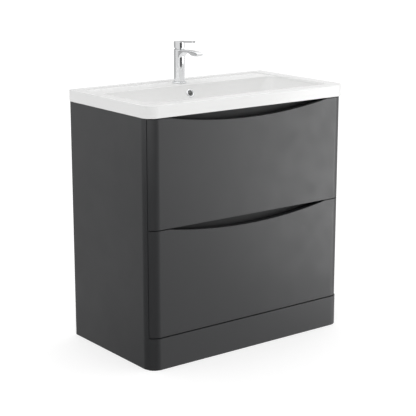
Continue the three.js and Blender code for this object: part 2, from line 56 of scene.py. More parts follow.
# ------------------------------------------------------------------ camera
CAMERA_TARGET = Vector((-0.006, 0.0, 0.432))
CAMERA_DISTANCE = 4.22
CAMERA_AZIMUTH = math.radians(-37.09)
CAMERA_ELEVATION = math.radians(13.72)
CAMERA_LENS = 107.6
SENSOR_WIDTH = 36.0


def make_camera():
    data = bpy.data.cameras.new("camera")
    data.lens = CAMERA_LENS
    data.sensor_width = SENSOR_WIDTH
    camera = bpy.data.objects.new("camera", data)
    bpy.context.scene.collection.objects.link(camera)
    level = math.cos(CAMERA_ELEVATION)
    back = Vector((
        math.sin(CAMERA_AZIMUTH) * level,
        -math.cos(CAMERA_AZIMUTH) * level,
        math.sin(CAMERA_ELEVATION),
    ))
    camera.location = CAMERA_TARGET + back * CAMERA_DISTANCE
    camera.rotation_euler = (-back).to_track_quat("-Z", "Y").to_euler()
    bpy.context.scene.camera = camera


# ------------------------------------------------------------------ materials
# a noise value lies mostly between these two
NOISE_LOW, NOISE_HIGH = 0.3, 0.7


class Shader:
    """A material under construction, with short ways to add procedural texture nodes."""

    def __init__(self, name, color, roughness, metallic=0.0):
        self.material = bpy.data.materials.new(name)
        self.material.use_nodes = True
        self.tree = self.material.node_tree
        self.surface = self.tree.nodes["Principled BSDF"]
        self.surface.inputs["Base Color"].default_value = (*color, 1.0)
        self.surface.inputs["Roughness"].default_value = roughness
        self.surface.inputs["Metallic"].default_value = metallic
        self.place = self.tree.nodes.new("ShaderNodeTexCoord").outputs["Object"]

    def stretched(self, scale):
        mapping = self.tree.nodes.new("ShaderNodeMapping")
        mapping.inputs["Scale"].default_value = scale
        self.tree.links.new(self.place, mapping.inputs["Vector"])
        return mapping.outputs["Vector"]

    def noise(self, scale, detail=2.0, stretch=None):
        node = self.tree.nodes.new("ShaderNodeTexNoise")
        node.inputs["Scale"].default_value = scale
        node.inputs["Detail"].default_value = detail
        vector = self.stretched(stretch) if stretch else self.place
        self.tree.links.new(vector, node.inputs["Vector"])
        return node.outputs["Fac"]

    def spread(self, value, low, high):
        """A noise value as a number from low to high."""
        node = self.tree.nodes.new("ShaderNodeMapRange")
        node.inputs["From Min"].default_value = NOISE_LOW
        node.inputs["From Max"].default_value = NOISE_HIGH
        node.inputs["To Min"].default_value = low
        node.inputs["To Max"].default_value = high
        self.tree.links.new(value, node.inputs["Value"])
        return node.outputs["Result"]

    def vary_color(self, value, low, high):
        node = self.tree.nodes.new("ShaderNodeValToRGB")
        node.color_ramp.elements[0].position = NOISE_LOW
        node.color_ramp.elements[1].position = NOISE_HIGH
        node.color_ramp.elements[0].color = (*low, 1.0)
        node.color_ramp.elements[1].color = (*high, 1.0)
        self.tree.links.new(value, node.inputs["Fac"])
        self.tree.links.new(node.outputs["Color"], self.surface.inputs["Base Color"])

    def vary_roughness(self, value, low, high):
        self.tree.links.new(self.spread(value, low, high), self.surface.inputs["Roughness"])

    def bump(self, value, distance, strength=1.0, after=None):
        node = self.tree.nodes.new("ShaderNodeBump")
        node.inputs["Distance"].default_value = distance
        node.inputs["Strength"].default_value = strength
        self.tree.links.new(value, node.inputs["Height"])
        if after:
            self.tree.links.new(after, node.inputs["Normal"])
        self.tree.links.new(node.outputs["Normal"], self.surface.inputs["Normal"])
        return node.outputs["Normal"]

    def set(self, **sockets):
        for name, value in sockets.items():
            self.surface.inputs[name.replace("_", " ")].default_value = value


def millimetres(points):
    return [(a * MM, b * MM) for a, b in points]


def scaled(color, factor):
    return tuple(channel * factor for channel in color)


def lacquer(name, color, roughness, specular):
    """Satin sprayed paint on smooth board: faint clouds, and the fine ripple of a spray coat."""
    shader = Shader(name, color, roughness)
    clouds = shader.noise(3.0, 3.0)
    shader.vary_color(clouds, scaled(color, 0.95), scaled(color, 1.05))
    shader.vary_roughness(shader.noise(14.0, 4.0), roughness - 0.03, roughness + 0.03)
    ripple = shader.bump(shader.noise(260.0, 1.0), 0.00006)
    shader.bump(shader.noise(1400.0, 2.0), 0.00002, after=ripple)
    shader.set(Specular_IOR_Level=specular)
    return shader.material


def melamine(name, color, roughness):
    """Melamine-faced board with a faint linen press."""
    shader = Shader(name, color, roughness)
    across = shader.noise(60.0, 2.0, stretch=(1.0, 14.0, 14.0))
    shader.vary_color(across, scaled(color, 0.94), scaled(color, 1.04))
    shader.vary_roughness(shader.noise(30.0, 3.0), roughness - 0.05, roughness + 0.05)
    shader.bump(shader.noise(900.0, 2.0, stretch=(1.0, 3.0, 3.0)), 0.00005)
    return shader.material


def glaze(name, color):
    """Gloss white sanitary glaze, with the slight waviness of a fired surface."""
    shader = Shader(name, color, 0.16)
    shader.vary_color(shader.noise(4.0, 2.0), scaled(color, 0.985), color)
    shader.vary_roughness(shader.noise(20.0, 3.0), 0.13, 0.2)
    shader.bump(shader.noise(16.0, 1.0), 0.0002, 0.5)
    shader.set(Specular_IOR_Level=0.3)
    return shader.material


def polished_chrome(name):
    shader = Shader(name, (0.86, 0.87, 0.88), 0.05, 1.0)
    shader.vary_roughness(shader.noise(90.0, 4.0), 0.03, 0.07)
    shader.bump(shader.noise(45.0, 1.0), 0.00003, 0.5)
    return shader.material


def zinc_steel(name):
    """Zinc-plated sheet, drawn lengthwise."""
    shader = Shader(name, (0.55, 0.57, 0.6), 0.35, 1.0)
    grain = shader.noise(500.0, 2.0, stretch=(1.0, 0.03, 1.0))
    shader.vary_color(shader.noise(22.0, 3.0), (0.48, 0.5, 0.53), (0.62, 0.64, 0.67))
    shader.vary_roughness(grain, 0.26, 0.42)
    shader.bump(grain, 0.00003)
    return shader.material


def moulded(name, color, roughness):
    """Moulded plastic or rubber with a fine spark-eroded skin."""
    shader = Shader(name, color, roughness)
    shader.vary_color(shader.noise(40.0, 2.0), scaled(color, 0.93), scaled(color, 1.03))
    shader.vary_roughness(shader.noise(120.0, 3.0), roughness - 0.06, roughness + 0.06)
    shader.bump(shader.noise(2200.0, 2.0), 0.00003)
    return shader.material


PAINT = (0.0235, 0.0243, 0.0263)
LOOKS = {
    "cabinet_paint": lacquer("anthracite_lacquer", PAINT, 0.42, 0.8),
    # The finger rails get the cabinet's paint made darker. This is painted shade that stands in
    # for the shadow inside the finger-pull recesses.
    "rail_paint": lacquer("anthracite_rail_paint_with_painted_shade", scaled(PAINT, 0.75), 0.5, 0.4),
    "carcass_board": melamine("carcass_melamine", (0.075, 0.077, 0.082), 0.5),
    "drawer_board": melamine("drawer_melamine", (0.5, 0.49, 0.465), 0.5),
    "basin_glaze": glaze("white_glaze", (0.86, 0.86, 0.855)),
    "chrome": polished_chrome("polished_chrome"),
    "steel": zinc_steel("zinc_steel"),
    "white_plastic": moulded("white_plastic", (0.7, 0.71, 0.72), 0.4),
    "clear_plastic": moulded("bumper_plastic", (0.62, 0.64, 0.66), 0.25),
    "seal_rubber": moulded("seal_rubber", (0.02, 0.02, 0.021), 0.7),
}


# ------------------------------------------------------------------ mesh helpers
def dress(piece, slot):
    piece.data.materials.clear()
    piece.data.materials.append(LOOKS[slot])


def shade_by_angle(mesh, degrees):
    for polygon in mesh.polygons:
        polygon.use_smooth = True
    mesh.set_sharp_from_angle(angle=math.radians(degrees))


def soften(piece, width=0, segments=2, angle=30.0):
    """Rounds the sharp edges and shades the rest smooth."""
    for polygon in piece.data.polygons:
        polygon.use_smooth = True
    if width:
        bevel = piece.modifiers.new("rounded_edges", "BEVEL")
        bevel.width = width
        bevel.segments = segments
        bevel.limit_method = "ANGLE"
        bevel.angle_limit = math.radians(angle)
        bevel.use_clamp_overlap = True
    normals = piece.modifiers.new("normals", "WEIGHTED_NORMAL")
    normals.keep_sharp = True
    normals.weight = 60


def finish_cad_node(name, slot, width):
    """Keeps a CAD node's shape: joins its split vertices, rounds its edges and dresses it."""
    piece = nodes[name]
    weld = piece.modifiers.new("weld", "WELD")
    weld.merge_threshold = 0.01 * MM
    soften(piece, width)
    dress(piece, slot)


def piece_from(name, mesh, body, slot, replaces=()):
    piece = bpy.data.objects.new(name, mesh)
    bpy.context.scene.collection.objects.link(piece)
    dress(piece, slot)
    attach(piece, body)
    if replaces:
        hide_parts(*replaces)
    return piece


def mesh_from_rings(name, rings, closed=False):
    """A surface through rings of equal length. closed joins the last ring to the first, and
    otherwise the two end rings are capped."""
    mesh = bmesh.new()
    rows = [[mesh.verts.new(p) for p in ring] for ring in rings]
    count = len(rings[0])
    pairs = list(zip(rows, rows[1:])) + ([(rows[-1], rows[0])] if closed else [])
    for low, high in pairs:
        for i in range(count):
            j = (i + 1) % count
            mesh.faces.new((low[i], low[j], high[j], high[i]))
    if not closed:
        mesh.faces.new(list(reversed(rows[0])))
        mesh.faces.new(rows[-1])
    bmesh.ops.recalc_face_normals(mesh, faces=mesh.faces)
    made = bpy.data.meshes.new(name)
    mesh.to_mesh(made)
    mesh.free()
    return made


def arc(x, y, radius, start, end, steps):
    """Points of a circle's arc, with angles in degrees."""
    turns = (math.radians(start + (end - start) * i / steps) for i in range(steps + 1))
    return [(x + radius * math.cos(t), y + radius * math.sin(t)) for t in turns]


def rings_about_axis(profile, steps):
    """A level ring about Z for each (radius, height) of a profile."""
    rings = []
    for radius, height in profile:
        turns = [2 * math.pi * i / steps for i in range(steps)]
        rings.append([Vector((radius * math.cos(t), radius * math.sin(t), height)) for t in turns])
    return rings


def turned(name, profile, steps=64):
    """A closed profile of (radius, height) turned about Z. It stays off the axis."""
    return mesh_from_rings(name, rings_about_axis(profile, steps), closed=True)


def turned_solid(name, profile, steps=64):
    """A profile from near the axis at the bottom to near the axis at the top, capped."""
    return mesh_from_rings(name, rings_about_axis(profile, steps))


def post(name, radius, low, high):
    """A round solid about Z, used mostly to cut holes."""
    return turned_solid(name, [(radius, low), (radius, high)])


def combine(name, base, operation, *others):
    """Booleans meshes together, and gives the result as a new mesh."""
    target = bpy.data.objects.new(name, base)
    bpy.context.scene.collection.objects.link(target)
    tools = []
    for other in others:
        tool = bpy.data.objects.new(name + "_tool", other)
        bpy.context.scene.collection.objects.link(tool)
        modifier = target.modifiers.new("boolean", "BOOLEAN")
        modifier.operation = operation
        modifier.solver = "EXACT"
        modifier.object = tool
        tools.append(tool)
    bpy.context.view_layer.update()
    evaluated = target.evaluated_get(bpy.context.evaluated_depsgraph_get())
    result = bpy.data.meshes.new_from_object(evaluated)
    result.name = name
    for leftover in [target, *tools]:
        bpy.data.objects.remove(leftover)
    return result


def box_mesh(name, low, high):
    mesh = bmesh.new()
    bmesh.ops.create_cube(mesh, size=1.0)
    size = Vector(high) - Vector(low)
    centre = (Vector(high) + Vector(low)) / 2
    for vertex in mesh.verts:
        vertex.co = Vector(a * b for a, b in zip(vertex.co, size)) + centre
    made = bpy.data.meshes.new(name)
    mesh.to_mesh(made)
    mesh.free()
    return made


# ------------------------------------------------------------------ places from the frame
FRONT_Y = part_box("top_drawer_front")[0].y
BASIN_LOW, BASIN_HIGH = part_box("basin")
RIM_TOP = BASIN_HIGH.z
RIM_STEP = 6 * MM
SKIRT_HEIGHT = 40 * MM
DECK_TOP = RIM_TOP - RIM_STEP
SKIRT_BOTTOM = RIM_TOP - SKIRT_HEIGHT
BOSS_BOTTOM = BASIN_LOW.z
PLUG_LOW, PLUG_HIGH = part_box("waste_plug")
WASTE_Y = (PLUG_LOW.y + PLUG_HIGH.y) / 2
COLUMN_LOW, COLUMN_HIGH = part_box("tap_base_ring")
TAP_Y = (COLUMN_LOW.y + COLUMN_HIGH.y) / 2


def at(depth):
    """A depth in millimetres behind the drawer fronts, as a Y position."""
    return FRONT_Y + depth * MM


# ------------------------------------------------------------------ basin
CORNER_STEPS = 12
OUTER_HALF = BASIN_HIGH.x
OUTER_RADIUS = 40 * MM
BACK_WALL_LEAN = 0.415
BACK_WALL_SLOPE = math.atan(BACK_WALL_LEAN)
BACK_WALL_TOP = 343.2
BOWL_DEPTH = 102.0
BOWL_FILLET = 42.0
BOWL_HALF = 361.0
SIDE_WALL_LEAN = 0.72
BOWL_FRONT = 41.5
FRONT_WALL_LEAN = 0.30
BOWL_CORNER = 30.0
LIP_RADIUS = 3.0
EDGE_RADIUS = 3.5 * MM
EDGE_STEPS = 5
BOWL_WALL = 11.0
BOWL_FLOOR_WALL = 10.0
WASTE_SEAT = 735 * MM
WASTE_HOLE = 22.5 * MM
BOSS_RADIUS = 40 * MM
BOSS_FLARE = 46 * MM
CHANNEL_FLOOR = BOSS_BOTTOM + 6 * MM
OVERFLOW_DROP = 29
OVERFLOW_HOLE = 12.2 * MM
TAP_HOLE = 18 * MM
HOUSING_BACK = 367


def level_ring(z, half, front, back, radius, back_radius=None):
    back_radius = radius if back_radius is None else back_radius
    corners = [
        (half - back_radius, back - back_radius, back_radius, 0),
        (back_radius - half, back - back_radius, back_radius, 90),
        (radius - half, front + radius, radius, 180),
        (half - radius, front + radius, radius, 270),
    ]
    ring = []
    for x, y, r, start in corners:
        ring += [Vector((px, py, z)) for px, py in arc(x, y, r, start, start + 90, CORNER_STEPS)]
    return ring


def circle_ring(z, radius):
    count = 4 * (CORNER_STEPS + 1)
    turns = [2 * math.pi * (i + 0.5) / count for i in range(count)]
    return [
        Vector((radius * math.cos(t), WASTE_Y + radius * math.sin(t), z)) for t in turns
    ]


def back_wall(drop):
    """The depth of the bowl's sloping back wall, a drop in millimetres below the deck."""
    return BACK_WALL_TOP - BACK_WALL_LEAN * drop


def bowl_ring(drop, out=0.0, lower=0.0):
    """The bowl's wall a drop in millimetres below the deck: straight slopes that turn into
    the floor by a large fillet. out and lower move it to the outside of the shell."""
    turn = max(0.0, drop - (BOWL_DEPTH - BOWL_FILLET)) / BOWL_FILLET
    inset = BOWL_FILLET * (1 - math.sqrt(max(0.0, 1 - turn * turn)))
    half = BOWL_HALF - SIDE_WALL_LEAN * drop - inset + out
    front = BOWL_FRONT + FRONT_WALL_LEAN * drop + inset - out
    back = back_wall(drop) - inset + out
    radius = BOWL_CORNER + 0.2 * drop + 0.35 * inset + out
    z = DECK_TOP - (drop + lower) * MM
    return level_ring(z, half * MM, at(front), at(back), radius * MM)


def grown(ring_values, by):
    """The half width, front, back and two corner radii of a level ring, moved outwards."""
    half, front, back, radius, back_radius = ring_values
    return half + by, front - by, back + by, radius + by, back_radius + by


def basin_mesh():
    tray = (361.5 * MM, at(41.0), at(430.0), 30 * MM, 18 * MM)
    rim = (366.5 * MM, at(37.0), at(434.0), 33.5 * MM, 21 * MM)
    outer = (OUTER_HALF, BASIN_LOW.y, BASIN_HIGH.y, OUTER_RADIUS, 4 * MM)
    rings = [circle_ring(BOSS_BOTTOM, WASTE_HOLE), circle_ring(WASTE_SEAT, WASTE_HOLE)]
    rings += [circle_ring(WASTE_SEAT, 34 * MM), circle_ring(WASTE_SEAT + 0.4 * MM, BOSS_FLARE)]
    drops = [BOWL_DEPTH, 101.6, 100, 97, 93, 88, 82, 75, 68, 60, 50, 38, 26, 14, 6, LIP_RADIUS]
    rings += [bowl_ring(drop) for drop in drops]
    # the rounded lip between the bowl and the deck
    for t in (20, 45, 70, 90):
        turn = math.radians(t)
        out = LIP_RADIUS * (1 - math.cos(turn))
        rings.append(bowl_ring(LIP_RADIUS, out, lower=-LIP_RADIUS * math.sin(turn)))
    # the deck, the step up to the rim, and the rim's two rounded edges
    rings += [level_ring(DECK_TOP, *grown(tray, -1.2 * MM))]
    rings += [level_ring(DECK_TOP + 0.5 * MM, *grown(tray, 0.3 * MM))]
    rings += [level_ring(DECK_TOP + 2 * MM, *grown(tray, 1.4 * MM))]
    rings += [level_ring(RIM_TOP - 2 * MM, *grown(rim, -1.8 * MM))]
    rings += [level_ring(RIM_TOP - 0.6 * MM, *grown(rim, -0.5 * MM))]
    rings += [level_ring(RIM_TOP, *grown(rim, 1.6 * MM))]
    turns = [math.pi / 2 * i / EDGE_STEPS for i in range(EDGE_STEPS + 1)]
    for t in turns:
        values = grown(outer, -EDGE_RADIUS * (1 - math.sin(t)))
        rings.append(level_ring(RIM_TOP - EDGE_RADIUS * (1 - math.cos(t)), *values))
    for t in turns:
        values = grown(outer, -EDGE_RADIUS * (1 - math.cos(t)))
        rings.append(level_ring(SKIRT_BOTTOM + EDGE_RADIUS * (1 - math.sin(t)), *values))
    # the underside of the slab and the outside of the bowl, down to the waste boss
    for drop in (24, 45, 60, 75, 88, 97, BOWL_DEPTH):
        rings.append(bowl_ring(drop, BOWL_WALL, BOWL_FLOOR_WALL))
    rings += [circle_ring(DECK_TOP - 115 * MM, BOSS_FLARE)]
    rings += [circle_ring(DECK_TOP - 117 * MM, BOSS_RADIUS), circle_ring(BOSS_BOTTOM, BOSS_RADIUS)]
    return mesh_from_rings("basin", rings, closed=True)


def on_back_wall():
    """Takes a piece made about its own Z axis to the overflow, square to the sloping wall."""
    place = Matrix.Translation((0, at(back_wall(OVERFLOW_DROP)), DECK_TOP - OVERFLOW_DROP * MM))
    return place @ Matrix.Rotation(math.pi / 2 - BACK_WALL_SLOPE, 4, "X")


def block(name, half_width, depths, heights):
    """A box across the middle. Its half width and depths are in millimetres."""
    low = (-half_width * MM, at(depths[0]), heights[0])
    high = (half_width * MM, at(depths[1]), heights[1])
    return box_mesh(name, low, high)


def duct_mesh(bottom):
    """The overflow's hollow: it follows the sloping wall down, then drops to the waste."""
    # millimetres behind the bowl's wall, then drops below the deck
    front, back = 5, 12
    start, bend = 24, 50
    half_width = 22

    def corner(drop, behind, height=None):
        height = DECK_TOP - drop * MM if height is None else height
        return Vector((0, at(back_wall(drop) + behind), height))

    outline = [corner(start, front), corner(start, back), corner(bend, back)]
    outline += [corner(bend, back, bottom), corner(bend, front, bottom), corner(bend, front)]
    sides = [[p + Vector((x * MM, 0, 0)) for p in outline] for x in (-half_width, half_width)]
    return mesh_from_rings("duct", sides)


def duct_housing():
    """The two blocks on the bowl's outside that the overflow's hollow runs through."""
    half_width = 30
    housing_top = DECK_TOP - 26 * MM
    foot_top = BOSS_BOTTOM + 22 * MM
    housing = block("duct_housing", half_width, (305, HOUSING_BACK), (BOSS_BOTTOM, housing_top))
    foot = block("duct_foot", half_width, (200, HOUSING_BACK), (BOSS_BOTTOM, foot_top))
    # the housing stops inside the thickness of the bowl's wall
    drops = (BOWL_DEPTH, 97, 88, 75, 60, 38, LIP_RADIUS, -10)
    hollow = [bowl_ring(drop, out=4, lower=4) for drop in drops]
    housing = combine("housing", housing, "DIFFERENCE", mesh_from_rings("hollow", hollow))
    return housing, foot


def basin_cuts():
    """What is cut out of the basin: the overflow's way, the space behind it and two holes."""
    duct = duct_mesh(CHANNEL_FLOOR)
    outlet = block("duct_outlet", 14, (192, 334), (CHANNEL_FLOOR, CHANNEL_FLOOR + 10 * MM))
    recess_heights = (SKIRT_BOTTOM - 2 * MM, DECK_TOP - 20 * MM)
    recess = block("recess", 340, (HOUSING_BACK + 0.5, 432), recess_heights)
    overflow = post("overflow", OVERFLOW_HOLE, -30 * MM, 8 * MM)
    overflow.transform(on_back_wall())
    tap_hole = on_tap(post("tap_hole", TAP_HOLE, DECK_TOP - 25 * MM, DECK_TOP + 5 * MM))
    return duct, outlet, recess, overflow, tap_hole


def build_basin():
    whole = combine("basin", basin_mesh(), "UNION", *duct_housing())
    body = combine("basin", whole, "DIFFERENCE", *basin_cuts())
    piece = piece_from("basin_ceramic", body, "carcass", "basin_glaze", ["basin"])
    shade_by_angle(body, 42)
    soften(piece)


def build_overflow_ring():
    profile = [
        (9.5, -6), (11.8, -6), (11.8, 0.3), (15.3, 0.3), (15.5, 0.7), (15.3, 1.2), (14.8, 1.8),
        (14.0, 2.25), (13.0, 2.48), (12.2, 2.5), (11.3, 2.3), (10.5, 1.9), (9.9, 1.3), (9.5, 0.4),
    ]
    ring = turned("overflow_ring", millimetres(profile))
    ring.transform(on_back_wall())
    shade_by_angle(ring, 50)
    soften(piece_from("overflow_trim", ring, "carcass", "chrome", ["overflow_ring"]))


# ------------------------------------------------------------------ waste
WASTE_BORE = 17 * MM
THREAD_CREST = 20.9 * MM
THREAD_ROOT = 20.1 * MM
THREAD_PITCH = 2.3 * MM
THREAD_TURNS = 18
THREAD_START = 2 * MM
FLANGE_ABOVE_STEM = 19.3 * MM
STEM_LENGTH = 22.3


def raised(profile, base):
    """A profile in millimetres, in metres, with its heights counted from base."""
    return [(radius * MM, base + rise * MM) for radius, rise in profile]


def on_waste(mesh):
    mesh.transform(Matrix.Translation((0, WASTE_Y, 0)))
    return mesh


def waste_thread(tube_end):
    """The outline of a row of grooves that stands for the thread on the tube."""
    start = tube_end + THREAD_START
    outline = []
    for i in range(THREAD_TURNS):
        low = start + i * THREAD_PITCH
        outline += [(THREAD_CREST, low), (THREAD_ROOT, low + 0.5 * THREAD_PITCH)]
    return [*outline, (THREAD_CREST, start + THREAD_TURNS * THREAD_PITCH)]


def build_waste():
    flange = PLUG_LOW.z + FLANGE_ABOVE_STEM
    tube_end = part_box("waste_body")[0].z
    rim = [
        (31.4, 0), (32, 0.5), (32, 1.3), (31.4, 2.1), (30.2, 2.6), (26, 2.7), (19.4, 2.6),
        (17.6, 2.0),
    ]
    profile = [(WASTE_BORE, tube_end), (20.2 * MM, tube_end), *waste_thread(tube_end)]
    profile += [(THREAD_CREST, flange), *raised(rim, flange), (WASTE_BORE, flange + 0.9 * MM)]
    # a slot through the tube, level with the overflow's channel
    low = (-6 * MM, WASTE_Y - 25 * MM, CHANNEL_FLOOR)
    high = (6 * MM, WASTE_Y + 25 * MM, CHANNEL_FLOOR + 9 * MM)
    slot = box_mesh("slot", low, high)
    body = combine("waste_fitting", on_waste(turned("waste", profile)), "DIFFERENCE", slot)
    shade_by_angle(body, 25)
    soften(piece_from("waste_fitting", body, "carcass", "chrome", ["waste_body"]))

    dome = [
        (5, -STEM_LENGTH), (5, 0), (30.6, 0), (31, 0.4), (31, 1.8), (30.6, 2.9), (29.4, 3.8),
        (27, 4.6), (20, 5.6), (10, 6.25), (1, 6.4),
    ]
    plug = on_waste(turned_solid("plug", raised(dome, PLUG_LOW.z + STEM_LENGTH * MM)))
    shade_by_angle(plug, 50)
    soften(piece_from("click_plug", plug, "waste_plug", "chrome", ["waste_plug"]))


# ------------------------------------------------------------------ tap
# The spout's outlines: how far in front of the tap's axis, and the height or half width there.
SPOUT_TOP = [
    (0, 952.5), (20, 954.3), (45, 956), (75, 956.3), (100, 955.6), (112, 953.8), (123, 951),
]
SPOUT_BELOW = [
    (0, 915), (12, 922), (18, 929.5), (24, 937), (34, 944.5), (46, 948), (60, 948.4), (70, 946.6),
    (78, 942.8), (86, 940.2), (98, 939.6), (112, 941), (123, 944),
]
SPOUT_WIDTH = [(0, 14.5), (18, 14.2), (34, 13.2), (60, 13), (110, 13), (123, 12.2)]
SPOUT_STEP = 2.5
SPOUT_END = 117
SPOUT_TIP = 6.3
SPOUT_SQUARENESS = 0.42
SPOUT_STEPS = 48
AERATOR_REACH = 98
BODY_RADIUS = 18.5 * MM
BODY_TOP = 955 * MM
CARTRIDGE_BORE = 15.5 * MM
CARTRIDGE_DEPTH = 25 * MM
SOCKET_RADIUS = 13 * MM
NECK_RADIUS = 14.5 * MM
HEAD_TOP = 979 * MM
HEAD_RELIEF = math.radians(22)
CAP_RADIUS = 18.3
LEVER_REACH = 81
LEVER_TIP = 7.4
LEVER_THICKNESS = 5
LEVER_UNDERSIDE = 977 * MM
LEVER_SLOPE = math.radians(-4.5)
ROUND_STEPS = 96


def curve(points, x):
    """A smooth curve through points of (x, y), read at x."""
    last = len(points) - 2
    i = next((i for i in range(last + 1) if x <= points[i + 1][0]), last)
    before, start = points[max(i - 1, 0)], points[i]
    end, after = points[i + 1], points[min(i + 2, last + 1)]
    span = end[0] - start[0]
    leave = (end[1] - before[1]) / (end[0] - before[0]) * span
    arrive = (after[1] - start[1]) / (after[0] - start[0]) * span
    t = (x - start[0]) / span
    low = (2 * t ** 3 - 3 * t ** 2 + 1) * start[1] + (t ** 3 - 2 * t ** 2 + t) * leave
    return low + (3 * t ** 2 - 2 * t ** 3) * end[1] + (t ** 3 - t ** 2) * arrive


def spout_ring(reach, scale=1.0):
    """A section of the spout: a rectangle with soft sides, as a superellipse."""
    top = curve(SPOUT_TOP, reach)
    below = curve(SPOUT_BELOW, reach)
    middle, half_height = (top + below) / 2, (top - below) / 2 * scale
    half_width = curve(SPOUT_WIDTH, reach) * (0.55 + 0.45 * scale)
    ring = []
    for i in range(SPOUT_STEPS):
        t = 2 * math.pi * i / SPOUT_STEPS
        x = math.copysign(abs(math.cos(t)) ** SPOUT_SQUARENESS, math.cos(t)) * half_width
        z = math.copysign(abs(math.sin(t)) ** SPOUT_SQUARENESS, math.sin(t)) * half_height
        ring.append(Vector((x * MM, TAP_Y - reach * MM, (middle + z) * MM)))
    return ring


def spout_mesh():
    reaches = [SPOUT_STEP * i for i in range(int(SPOUT_END / SPOUT_STEP) + 1)]
    rings = [spout_ring(reach) for reach in reaches]
    for degrees in (15, 30, 45, 60, 72, 82):
        turn = math.radians(degrees)
        rings.append(spout_ring(SPOUT_END + SPOUT_TIP * math.sin(turn), math.cos(turn)))
    return mesh_from_rings("spout", rings)


def on_tap(mesh, reach=0):
    mesh.transform(Matrix.Translation((0, TAP_Y - reach * MM, 0)))
    return mesh


def build_flange():
    base = [
        (10, 0.3), (24.2, 0.3), (24.5, 0.6), (24.5, 3.2), (24.3, 4.0), (23.6, 4.6), (22.8, 4.7),
        (10, 4.7),
    ]
    ring = on_tap(turned("ring", raised(base, DECK_TOP)))
    shade_by_angle(ring, 50)
    soften(piece_from("tap_flange", ring, "carcass", "chrome", ["tap_base_ring"]))


def round_block(name, radius, low_edge, high_edge):
    """A round solid on the tap's axis. Each edge is a list of (inset, height)."""
    profile = [(radius - inset, height) for inset, height in (*low_edge, *high_edge)]
    return on_tap(turned_solid(name, profile, ROUND_STEPS))


def build_body():
    foot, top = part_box("tap_body")[0].z, BODY_TOP
    low_edge = [(0.4 * MM, foot), (0, foot + 0.4 * MM)]
    high_edge = [(0, top - 0.9 * MM), (0.25 * MM, top - 0.25 * MM), (0.9 * MM, top)]
    column = round_block("column", BODY_RADIUS, low_edge, high_edge)
    whole = combine("tap", column, "UNION", spout_mesh())
    socket = on_tap(post("socket", SOCKET_RADIUS, foot - 5 * MM, foot + 5 * MM))
    bore = on_tap(post("bore", CARTRIDGE_BORE, top - CARTRIDGE_DEPTH, top + 9 * MM))
    seat = on_tap(post("seat", 10 * MM, 930 * MM, 945 * MM), AERATOR_REACH)
    body = combine("mixer_body", whole, "DIFFERENCE", socket, bore, seat)
    shade_by_angle(body, 34)
    soften(piece_from("mixer_body", body, "carcass", "chrome", ["tap_body"]), 0.4 * MM, 2, 40)


def build_neck():
    low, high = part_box("tap_turntable")
    edge = 0.3 * MM
    neck = [(NECK_RADIUS - edge, low.z), (NECK_RADIUS, low.z + edge)]
    neck += [(NECK_RADIUS, high.z - edge), (NECK_RADIUS - edge, high.z)]
    neck = on_tap(turned_solid("neck", neck))
    shade_by_angle(neck, 50)
    soften(piece_from("mixer_neck", neck, "tap_swivel", "chrome", ["tap_turntable"]))


def lever_head(low):
    """The round head. Its underside slopes up at the back, which leaves room for the lift."""
    low_edge = [(0.6 * MM, low), (0.15 * MM, low + 0.2 * MM), (0, low + 0.7 * MM)]
    high_edge = [(0, HEAD_TOP - 1.2 * MM), (0.35 * MM, HEAD_TOP - 0.35 * MM), (1.2 * MM, HEAD_TOP)]
    head = round_block("head", BODY_RADIUS, low_edge, high_edge)
    behind = 30 * MM
    below = -5 * MM
    wedge = [(0, 0), (behind, math.tan(HEAD_RELIEF) * behind), (behind, below), (0, below)]
    sides = [[Vector((x, TAP_Y + y, low + z)) for y, z in wedge] for x in (-behind, behind)]
    return combine("head", head, "DIFFERENCE", mesh_from_rings("wedge", sides))


def lever_tongue():
    """The plate that covers the head and runs forward, rising a little."""
    outline = arc(0, 0, CAP_RADIUS, -60, 240, 48)
    outline += arc(0, -LEVER_REACH, LEVER_TIP, 180, 360, 24)
    levels = (0, LEVER_THICKNESS)
    tongue = [[Vector((x * MM, y * MM, z * MM)) for x, y in outline] for z in levels]
    tongue = mesh_from_rings("tongue", tongue)
    tilt = Matrix.Rotation(LEVER_SLOPE, 4, "X")
    tongue.transform(Matrix.Translation((0, TAP_Y, LEVER_UNDERSIDE)) @ tilt)
    return tongue


def build_lever():
    head = lever_head(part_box("tap_lever")[0].z)
    lever = combine("mixer_lever", head, "UNION", lever_tongue())
    shade_by_angle(lever, 34)
    soften(piece_from("mixer_lever", lever, "tap_lever", "chrome", ["tap_lever"]), 0.9 * MM, 3, 40)


def build_aerator():
    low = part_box("tap_aerator")[0]
    ribs = [(9.6, 4.6), (9.7, 0.6), (9.4, 0.2), (8.6, 0.0), (7.8, 0.3), (7.6, 1.2)]
    for i in range(6):
        ribs += [(7.0 - i, 1.2), (6.8 - i, 0.7), (6.5 - i, 0.7), (6.3 - i, 1.2)]
    ribs += [(0.5, 1.2), (0.5, 4.6)]
    mesh = on_tap(turned("aerator", raised(ribs, low.z)), AERATOR_REACH)
    shade_by_angle(mesh, 40)
    soften(piece_from("spray_insert", mesh, "carcass", "white_plastic", ["tap_aerator"]))


def build_tap():
    build_flange()
    build_body()
    build_neck()
    build_lever()
    build_aerator()


# ------------------------------------------------------------------ studio
# The studio is white to the camera. What lights the cabinet, and what its paint and chrome
# mirror, is a soft surround. Its shades are by the angle from the camera's side of the
# cabinet, in degrees towards the camera's right: dark on that side, lighter elsewhere.
SURROUND = [
    (-180, 0.60), (-120, 0.42), (-100, 0.12), (-60, 0.10), (-10, 0.12), (8, 0.14), (20, 0.05),
    (44, 0.06), (60, 0.35), (72, 0.52), (95, 0.72), (180, 0.75),
]
CEILING = 1.32
# how far up a direction points where the ceiling starts to show, and where it is all ceiling
CEILING_START, CEILING_WHOLE = 0.25, 0.7
FLOOR_REACH = 30
FLOOR_THICKNESS = 0.02
FLOOR_TOP = -0.5 * MM
FLOOR_COLOR = 0.5
FLOOR_GLOW = 0.56
